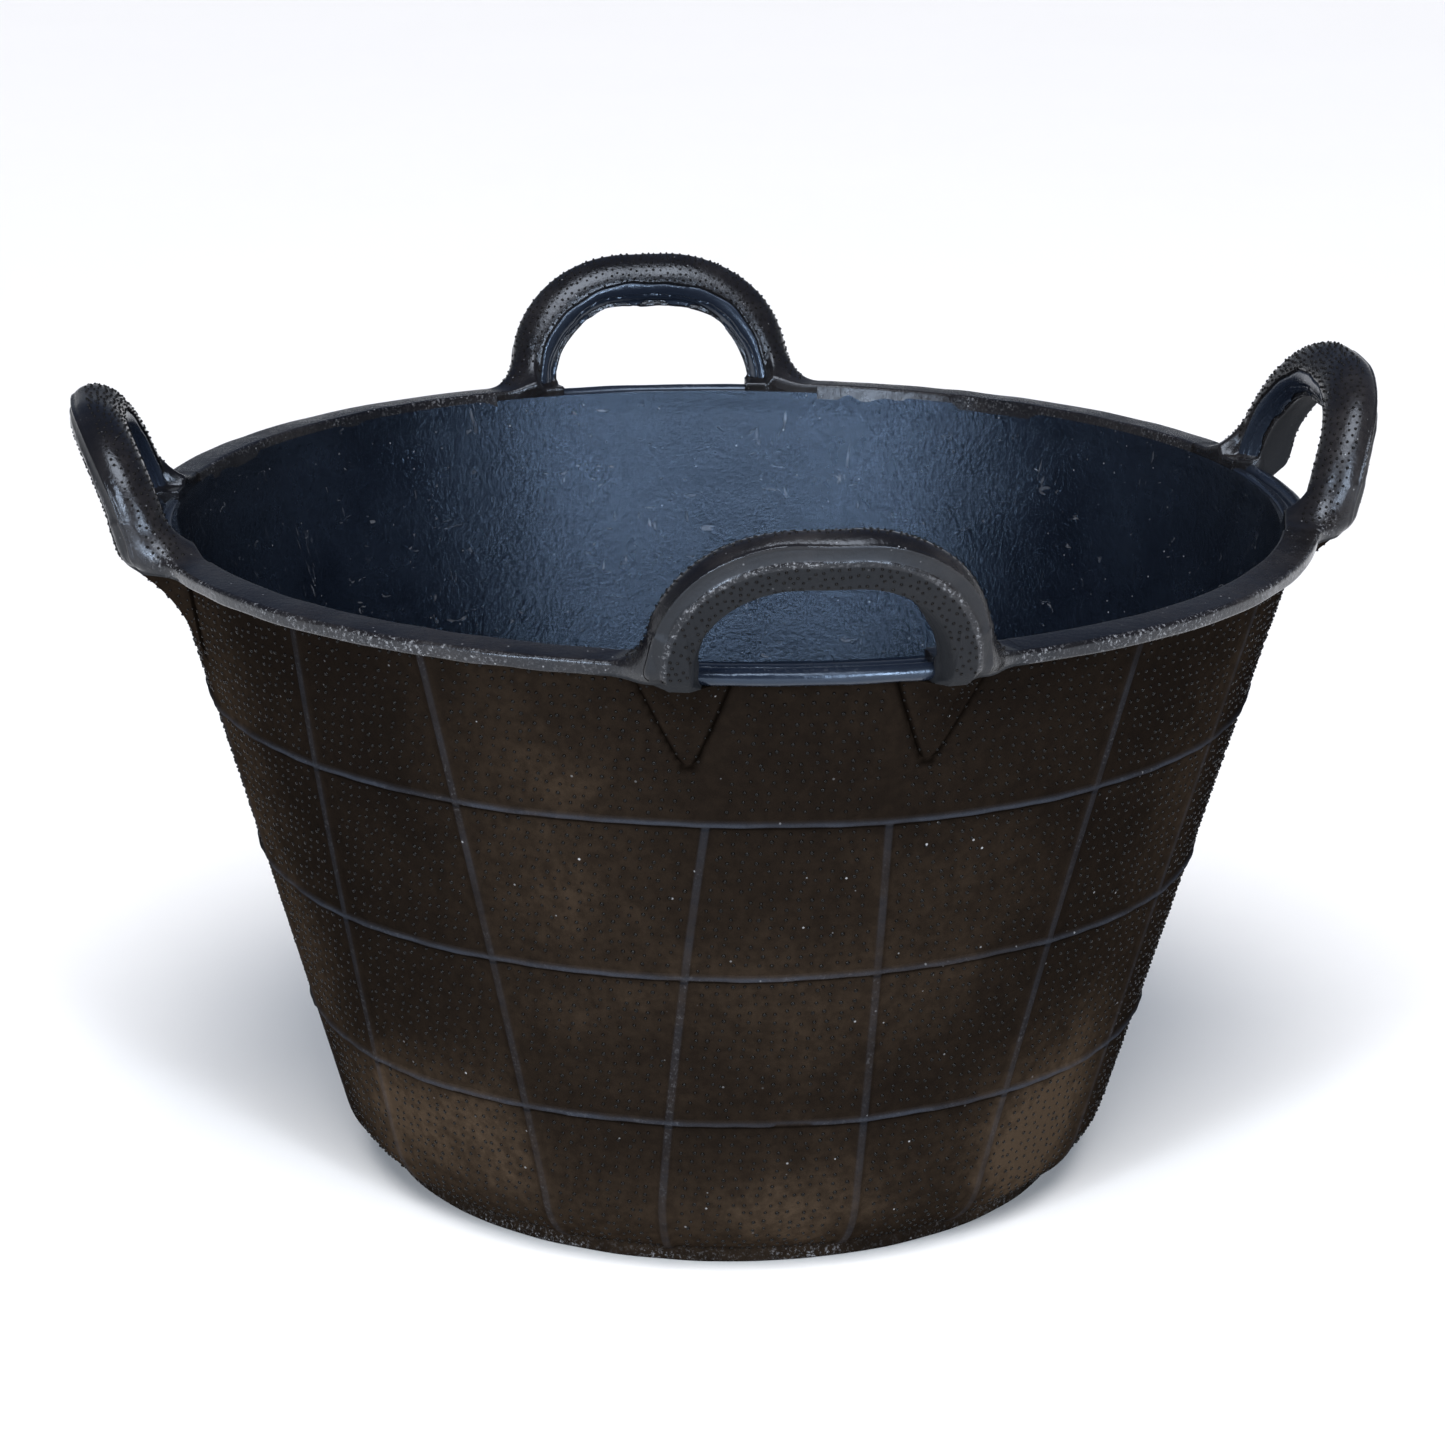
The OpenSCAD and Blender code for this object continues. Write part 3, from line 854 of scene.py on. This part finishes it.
def handle_fields(r, u, z, seed):
    """Distance fields of the whole moulded handle with its roots and spurs, and of its lining strip."""
    rho, face, along = arch_place(r, u, z)
    body = grip_body(rho, face, along, seed) + lumps(r, u, z, seed + 5, 45.0, 0.45)
    angle = np.degrees(np.arctan2(face, rho))
    low, high = lining_edges(along, seed)
    per_degree = 13.0 * math.pi / 180
    strip = np.maximum((low - angle), (angle - high)) * per_degree
    strip = np.where(face < 0, strip, 9.0)
    recess = 1.3 * smooth_step(0.8, -0.6, strip) * smooth_step(ARCH_Z + 1.0, ARCH_Z + 5.0, z)
    groove_at = -126 + wave(along, seed + 6, (38, 16, 90), (4.0, 1.5, 3.0))
    groove = 0.7 * np.exp(-(((angle - groove_at) * per_degree / 0.55) ** 2))
    lining = soft_max(soft_max(body + 0.45 + groove, -(body + 5.0), 0.5), strip + 0.45, 0.6)
    lining = np.maximum(lining, ARCH_Z + 1.5 - z)

    top_z = RIM_Z - RIM_FALL * (r - RIM_INNER_R) / (RIM_R - RIM_INNER_R)
    outer_r = RIM_R - 0.5 - np.maximum(RIM_Z - 3.0 - z, 0) * 0.22
    collar = soft_max(soft_max(RIM_INNER_R + 0.1 - r, z - top_z + 0.1, 1.7), r - outer_r, 2.0)
    collar = np.maximum(collar, WALL_Z - 0.6 - z)
    collar = np.maximum(collar, np.maximum(56.0 - np.abs(u), np.abs(u) - ROOT_U))
    underside = WALL_Z - 0.5 + np.maximum(r - RIM_R, 0) * 0.36 - z
    leg = soft_max(body + recess, underside, 3.0)
    total = blend(leg, collar, 3.5 + 18.5 * smooth_step(-3.0, 7.0, rho))
    total = soft_max(total, RIM_INNER_R + 0.1 - r, 1.7)
    total = np.maximum(total, WALL_Z - 0.6 - z)

    climb = spur_climb(z)
    wall = wall_r(z)
    crest = (SPUR_TOP_R - wall_r(ARCH_Z)) * (0.12 * climb + 0.88 * climb**2.6)
    half, flat = spur_half_width(climb), 5.5 * climb
    aside = np.maximum(np.hypot(np.abs(u) - spur_middle(climb), 1.0) - flat, 0) / (half - flat)
    face_r = wall + SPUR_STEP * smooth_step(0, 0.1, climb) + crest * np.clip(1.0 - aside, 0, 1) ** 1.45
    spur = (r - face_r) * 0.66
    spur = soft_max(spur, (aside - 1.0) * (half - flat) * 0.8, 0.8)
    under_leg = smooth_step(57.0, 59.0, np.abs(u)) * smooth_step(84.0, 76.0, np.abs(u))
    ceiling = SILL_FOOT_Z + 3.0 * smooth_step(53.5, 57.5, np.abs(u)) + 24.0 * under_leg
    spur = np.maximum(spur, np.maximum(wall - 3.0 - r, np.maximum(z - ceiling, SPUR_TIP_Z - 1.5 - z)))
    spur = soft_max(spur, face - 12.4, 1.5)
    spur = np.where(z > WALL_Z + 2.0, np.maximum(spur, -1.0 - face), spur)
    return blend(total, spur, 4.0), lining


def surface_net(values, low, step):
    """Quads of the surface where a field on a grid crosses nought: vertices in grid axes, and faces."""
    inside = values < 0
    shape = np.array(values.shape) - 1
    corners = list(itertools.product((0, 1), repeat=3))
    p, q, s = shape
    count = sum(inside[a : a + p, b : b + q, c : c + s].astype(np.int8) for a, b, c in corners)
    cells = np.argwhere((count > 0) & (count < 8))
    index = np.full(shape, -1, np.int64)
    index[tuple(cells.T)] = np.arange(len(cells))
    at_corner = {c: values[tuple((cells + c).T)] for c in corners}
    total, hits = np.zeros((len(cells), 3)), np.zeros(len(cells))
    for a, b in itertools.combinations(corners, 2):
        if sum(abs(x - y) for x, y in zip(a, b)) != 1:
            continue
        va, vb = at_corner[a], at_corner[b]
        cross = (va < 0) != (vb < 0)
        t = np.where(cross, va / np.where(cross, va - vb, 1), 0)
        point = np.array(a) + t[:, None] * (np.array(b) - np.array(a))
        total += point * cross[:, None]
        hits += cross
    points = low + (cells + total / hits[:, None]) * step
    faces = []
    for axis in range(3):
        first, second = (axis + 1) % 3, (axis + 2) % 3
        here = [slice(1, -1)] * 3
        here[axis] = slice(0, -1)
        there = list(here)
        there[axis] = slice(1, None)
        a, b = inside[tuple(here)], inside[tuple(there)]
        for flip, found in ((False, a & ~b), (True, ~a & b)):
            edges = np.argwhere(found)
            offset = np.ones(3, int)
            offset[axis] = 0
            edges = edges + offset
            quad = []
            for df, ds in ((-1, -1), (0, -1), (0, 0), (-1, 0)):
                cell = edges.copy()
                cell[:, first] += df
                cell[:, second] += ds
                quad.append(index[tuple(cell.T)])
            quad = np.stack(quad, 1)
            faces.append(quad[:, ::-1] if flip else quad)
    return points, np.concatenate(faces)


def snap(points, field, rounds=3, eps=0.05):
    """Moves points onto the field's surface, and gives the field's direction there."""
    for _ in range(rounds + 1):
        value = field(*points.T)
        steps = np.eye(3) * eps
        slope = [(field(*(points + d).T) - field(*(points - d).T)) / (2 * eps) for d in steps]
        slope = np.stack(slope, 1)
        length = np.maximum((slope**2).sum(1), 0.09)
        move = (value / length)[:, None] * slope
        far = np.maximum(np.linalg.norm(move, axis=1) / 0.5, 1)
        points = points - move / far[:, None]
    return points, slope / np.linalg.norm(slope, axis=1)[:, None]


GRID_LOW = np.array([272.0, -109.0, 284.0])
GRID_HIGH = np.array([336.0, 109.0, 416.0])
GRID_STEP = 0.8


def unroll(points, middle):
    """From (radius, way round, height) about a handle's azimuth to the frame's axes."""
    turn = middle + points[:, 1] / U_R
    return np.stack([points[:, 0] * np.cos(turn), points[:, 0] * np.sin(turn), points[:, 2]], 1)


def unroll_direction(points, directions, middle):
    turn = middle + points[:, 1] / U_R
    c, s = np.cos(turn), np.sin(turn)
    x = directions[:, 0] * c - directions[:, 1] * s
    y = directions[:, 0] * s + directions[:, 1] * c
    return np.stack([x, y, directions[:, 2]], 1)


def spread(points, wanted, spacing, seed):
    """Picks points of a dense set that lie about spacing apart."""
    rng = np.random.default_rng(seed)
    order = rng.permutation(np.flatnonzero(wanted))
    taken, chosen = {}, []
    for number in order:
        p = points[number]
        cell = tuple((p // spacing).astype(int))
        near = itertools.product(*[(c - 1, c, c + 1) for c in cell])
        if any(np.sum((points[o] - p) ** 2) < spacing**2 for n in near for o in taken.get(n, ())):
            continue
        taken.setdefault(cell, []).append(number)
        chosen.append(number)
    return np.array(chosen, int)


DOME_SIDES = 7


def domes(name, points, normals, radius, height, material):
    """Small closed domes, one at every point, their feet sunk in the surface."""
    side = np.cross(normals, [0.0, 0.0, 1.0])
    side = np.where(np.linalg.norm(side, axis=1, keepdims=True) < 1e-3, [[1.0, 0, 0]], side)
    side /= np.linalg.norm(side, axis=1)[:, None]
    other = np.cross(normals, side)
    turns = 2 * math.pi * np.arange(DOME_SIDES) / DOME_SIDES
    rings = []
    for spread_by, rise in ((1.05, -0.4), (0.98, 0.12), (0.66, 0.72)):
        ring = (
            points[:, None]
            + (side[:, None] * np.cos(turns)[:, None] + other[:, None] * np.sin(turns)[:, None])
            * (spread_by * radius)[:, None, None]
            + normals[:, None] * (rise * height)[:, None, None]
        )
        rings.append(ring)
    apex = (points + normals * height[:, None])[:, None]
    foot = (points - normals * (0.4 * height)[:, None])[:, None]
    stack = np.concatenate(rings + [apex, foot], 1)
    per = stack.shape[1]
    k = np.arange(DOME_SIDES)
    k2 = (k + 1) % DOME_SIDES
    band = np.stack([k, k2, k2 + DOME_SIDES, k + DOME_SIDES], 1)
    quads = np.concatenate([band, band + DOME_SIDES])
    tris = np.concatenate(
        [
            np.stack([k + 2 * DOME_SIDES, k2 + 2 * DOME_SIDES, np.full(DOME_SIDES, per - 2)], 1),
            np.stack([k2, k, np.full(DOME_SIDES, per - 1)], 1),
        ]
    )
    base = (np.arange(len(points)) * per)[:, None, None]
    faces = [(quads[None] + base).reshape(-1, 4), (tris[None] + base).reshape(-1, 3)]
    make_piece(name, stack.reshape(-1, 3), faces, material, wear=np.zeros(stack.shape[0] * per))


def handle_wear(kind, points, rho, face):
    """Chalky wear of a handle's ridge and of its collar. points has rows of (radius, way round, height)."""
    if kind != "handle_skin_":
        return np.zeros(len(points))
    ridge = smooth_step(2.6, 0.8, np.hypot(rho - RIDGE_RHO, face - 13.0)) * (points[:, 2] > RIM_Z - 3)
    on_collar = smooth_step(80, 90, np.abs(points[:, 1]))
    return np.maximum(0.8 * ridge, rim_wear(points[:, ::2]) * on_collar)


def handle_painted_shade(kind, points, rho, face):
    """Painted shade on a handle's web, under its rim, round its opening and above its ridge, or a painted shadow
    line at a spur's edges.
    """
    r, u, z = points.T
    if kind == "spurs_":
        # Painted shadow line along the spur's V-shaped edge.
        climb = spur_climb(z)
        edge = spur_half_width(climb) - np.hypot(np.abs(u) - spur_middle(climb), 1.0)
        return 0.9 * smooth_step(2.6, 0.6, edge) * smooth_step(4.0, 2.2, r - wall_r(z))
    if kind == "handle_lining_":
        return np.zeros(len(points))
    # Painted shade on the web under the ridge, under the rim and round the opening, and weaker between ridge and
    # bead.
    web = 0.72 * smooth_step(RIDGE_RHO - 0.6, RIDGE_RHO - 2.2, rho) * smooth_step(8.0, 10.5, face)
    under_rim = 0.72 * smooth_step(RIM_Z - 5.0, RIM_Z - 9.0, z)
    opening = 0.8 * smooth_step(-9.0, -11.0, rho) * smooth_step(-6.0, -3.5, face)
    between = smooth_step(RIDGE_RHO + 0.6, RIDGE_RHO + 2.2, rho)
    between = between * smooth_step(BEAD_RHO + 1.5, BEAD_RHO - 0.8, rho)
    return np.max([web, under_rim, opening, 0.38 * between * smooth_step(5.0, 8.0, face)], 0)


def handle_dots(kind, points, rho, face):
    """Where pimples may stand on a handle or its spurs, their spacing and their radius."""
    r, _, z = points.T
    if kind == "spurs_":
        return (r > wall_r(z) + 1.5) & (z < CUT_Z - 2), 4.4, 0.72
    on_web = (rho > -11.5) & (rho < RIDGE_RHO - 2.0) & (face > 11.0) & (z > RIM_Z - 4)
    on_top = (rho > 1.0) & (face < 3.0) & (face > -13.4) & (z > RIM_Z + 1)
    return on_web | on_top, 3.1, 0.75


grid_axes = [np.arange(low, high, GRID_STEP) for low, high in zip(GRID_LOW, GRID_HIGH)]
r, u, z = np.meshgrid(*grid_axes, indexing="ij", sparse=True)
for number, (side, middle) in enumerate(SIDES.items()):
    seed = 100 + 20 * number
    middle = math.radians(middle)
    whole, lining = handle_fields(r, u, z, seed)
    forms = (
        ("handle_skin_", np.maximum(whole, CUT_Z - z), 0, RIM, "rubber_outer"),
        ("spurs_", np.maximum(whole, z - CUT_Z), 0, OUTER, "rubber_outer"),
        ("handle_lining_", lining, 1, LINING, "rubber_rim"),
    )
    for kind, values, which, material, slot in forms:

        def field(*place, seed=seed, which=which):
            return handle_fields(*place, seed)[which]

        points, faces = surface_net(values, GRID_LOW, GRID_STEP)
        on_cut = (np.abs(points[:, 2] - CUT_Z) < 0.51 * GRID_STEP) & (kind != "handle_lining_")
        moved, direction = snap(points, field)
        flat_cap = on_cut & (np.abs(field(*points.T)) > 0.6 * GRID_STEP)
        points = np.where(flat_cap[:, None], points, moved)
        points[on_cut, 2] = CUT_Z
        rho, face, _ = arch_place(*points.T)
        form = unroll(points, middle)
        wear = handle_wear(kind, points, rho, face)
        painted_shade = handle_painted_shade(kind, points, rho, face)
        name = kind + side
        make_piece(name + "_form", form, [faces], material, [name], wear=wear, painted_shade=painted_shade, sharp=55)
        if kind == "handle_lining_":
            continue
        outward = unroll_direction(points, direction, middle)
        wanted, gap, girth = handle_dots(kind, points, rho, face)
        chosen = spread(points, wanted, gap, seed)
        rng = np.random.default_rng(seed + 9)
        girths = girth * rng.uniform(0.85, 1.15, len(chosen))
        heights = 0.75 * rng.uniform(0.7, 1.2, len(chosen))
        domes("pimples_" + name, form[chosen], outward[chosen], girths, heights, DOTS)

# -------------------- sills

NOSE_R = 4.2
NOSE_X = RIM_R - 2.0 - NOSE_R
SILL_LIP_Z = WALL_Z + 3.4
SILL_LIP = [
    (RIM_INNER_R + 0.9, WALL_Z - 1.5, 0),
    (RIM_INNER_R + 0.9, SILL_LIP_Z, 1.6),
    (287.0, SILL_LIP_Z - 0.3, 1.4),
    (289.0, WALL_Z + 0.9, 0),
]
sill_outline = np.concatenate(
    [
        rounded_outline(SILL_LIP, 4)[:-1],
        arc((NOSE_X, WALL_Z), NOSE_R, 164, -104, 22),
        [(wall_r(WALL_Z) - 1.5, WALL_Z - 3.0)],
    ]
)
SILL_HALF_TURN = 58.5 / U_R


def sill_wear(outline):
    r, z = outline.T
    return 0.15 * smooth_step(290, 292, r) * smooth_step(WALL_Z + 2.6, WALL_Z + 3.9, z)


for side, middle in SIDES.items():
    middle = math.radians(middle)
    name = "sill_" + side
    revolve(
        name + "_form", sill_outline, middle - SILL_HALF_TURN, middle + SILL_HALF_TURN, 60,
        LINING, [name], sill_wear, ripple=0.3, seed=int(abs(middle) * 50) + 3,
    )

# -------------------- pimples of the wall

PIMPLE_GAP = 6.1
PIMPLE_ROW = 5.35
CLEAR_OF_RIB = 5.0
CLEAR_OF_HOOP = 3.6
dome_rng = np.random.default_rng(42)
band_edges = [16.0] + [run_at(z) for z in HOOPS_Z] + [run_at(WALL_Z - 4.0)]
for number, (low, high) in enumerate(itertools.pairwise(band_edges)):
    spots = []
    for row, run_here in enumerate(np.arange(low + 2.0, high - 1.0, PIMPLE_ROW)):
        around = 2 * math.pi * float(profile(np.array(run_here))[0])
        many = int(around / PIMPLE_GAP)
        turns = -math.pi + 2 * math.pi * (np.arange(many) + 0.5 * (row % 2)) / many
        jitter = dome_rng.normal(scale=0.75, size=(2, many))
        spots.append(np.stack([run_here + jitter[0], turns + jitter[1] * 2 * math.pi / around], 1))
    run, turn = np.concatenate(spots).T
    radius, z, nr, nz = profile(run)
    clear = relief(run, turn, z, radius) < 0.02
    for rib in rib_turns(z):
        clear &= apart(turn, rib) * radius > CLEAR_OF_RIB
    for hoop in range(HOOP_COUNT):
        clear &= np.abs(run - hoop_run(turn, hoop)) > CLEAR_OF_HOOP
    aside = np.abs(off_handle(turn) - SPUR_U)
    clear &= (z < SPUR_TIP_Z - 3) | (aside > 4.0 + (SPUR_HALF_W + 3.0) * spur_climb(z))
    run, turn, radius, z, nr, nz = (v[clear] for v in (run, turn, radius, z, nr, nz))
    uneven = wall_uneven(run, radius, turn, z)
    points = to_xyz(radius + nr * uneven, turn, z + nz * uneven)
    normals = to_xyz(nr, turn, nz)
    girths = dome_rng.uniform(0.8, 1.15, len(points))
    heights = 0.8 * dome_rng.uniform(0.7, 1.2, len(points))
    domes("pimples_wall_%d" % (number + 1), points, normals, girths, heights, DOTS)

# -------------------- floor, lights and camera

FLOOR_HALF = 30.0
floor_corners = [(x * FLOOR_HALF, y * FLOOR_HALF, 0) for x, y in ((-1, -1), (1, -1), (1, 1), (-1, 1))]
floor_mesh = bpy.data.meshes.new("floor")
floor_mesh.from_pydata(floor_corners, [], [(0, 1, 2, 3)])
g = Graph("floor_pale")
tone = g.mix(g.noise(3.0, 3.0), (0.88, 0.85, 0.81), (0.90, 0.87, 0.83))
rough = g.ramp(g.noise(40.0), 0.3, 0.7, 0.75, 0.85)
floor_mesh.materials.append(g.finish(tone, rough, g.bump(g.noise(700.0), 0.1, 0.0005)))
add_object("floor", floor_mesh)

world = bpy.data.worlds.new("soft_sky")
bpy.context.scene.world = world
world.use_nodes = True
sky = world.node_tree
background = sky.nodes["Background"]
background.inputs["Strength"].default_value = 1.0
way = sky.nodes.new("ShaderNodeTexCoord")
split = sky.nodes.new("ShaderNodeSeparateXYZ")
height = sky.nodes.new("ShaderNodeMapRange")
height.interpolation_type = "SMOOTHSTEP"
shade = sky.nodes.new("ShaderNodeMix")
shade.data_type = "RGBA"
height.inputs["From Min"].default_value = 0.05
height.inputs["From Max"].default_value = 0.42
shade.inputs[6].default_value = (0.22, 0.24, 0.27, 1.0)
shade.inputs[7].default_value = (0.05, 0.08, 0.15, 1.0)
sky.links.new(way.outputs["Generated"], split.inputs[0])
sky.links.new(split.outputs["Z"], height.inputs["Value"])
sky.links.new(height.outputs[0], shade.inputs[0])
sky.links.new(shade.outputs[2], background.inputs["Color"])


def softbox(name, azimuth, elevation, distance, width, height, power, colour):
    """A rectangular light round the tub, facing the middle of its mouth."""
    data = bpy.data.lights.new(name, "AREA")
    data.shape = "RECTANGLE"
    data.size, data.size_y = width, height
    data.energy = power
    data.color = colour
    light = add_object(name, data)
    a, e = math.radians(azimuth), math.radians(elevation)
    aim = Vector((0, 0, 0.25))
    way = Vector((math.cos(a) * math.cos(e), math.sin(a) * math.cos(e), math.sin(e)))
    light.location = aim + way * distance
    light.rotation_euler = way.to_track_quat("Z", "Y").to_euler()


COOL = (0.80, 0.89, 1.0)
WHITE = (0.96, 0.97, 1.0)
CAMERA_AZIMUTH = -98.3
SUN_ELEVATION = 62
softbox("box_right_of_camera", CAMERA_AZIMUTH + 28, 17, 3.6, 0.42, 1.5, 100, COOL)
softbox("box_left_of_camera", CAMERA_AZIMUTH - 32, 17, 3.6, 0.42, 1.5, 100, COOL)
sun_data = bpy.data.lights.new("soft_top_light", "SUN")
sun_data.energy = 3.75
sun_data.angle = math.radians(40)
sun_data.color = WHITE
sun = add_object("soft_top_light", sun_data)
azimuth = math.radians(CAMERA_AZIMUTH)
sun_way = Vector((math.cos(azimuth), math.sin(azimuth), math.tan(math.radians(SUN_ELEVATION))))
sun.rotation_euler = sun_way.to_track_quat("Z", "Y").to_euler()

LENS = 112.1
LOOK_DOWN = math.radians(16.93)
DISTANCE = 2.3367
TILT = math.radians(0.398)
AIM = Vector((-0.00262, 0.0, 0.2263))
camera_data = bpy.data.cameras.new("camera")
camera_data.lens = LENS
camera_data.sensor_width = 36.0
camera = add_object("camera", camera_data)
swing = Matrix.Rotation(math.radians(CAMERA_AZIMUTH + 90), 4, "Z")
back_way = Vector((0, -math.cos(LOOK_DOWN), math.sin(LOOK_DOWN)))
right = Vector((1, 0, 0))
up = back_way.cross(right)
right, up = right * math.cos(TILT) + up * math.sin(TILT), up * math.cos(TILT) - right * math.sin(TILT)
place = Matrix((right, up, back_way)).transposed().to_4x4()
place.translation = AIM + back_way * DISTANCE
camera.matrix_world = swing @ place
camera_data.clip_end = 100.0
bpy.context.scene.camera = camera
bpy.context.scene.view_settings.view_transform = "Standard"
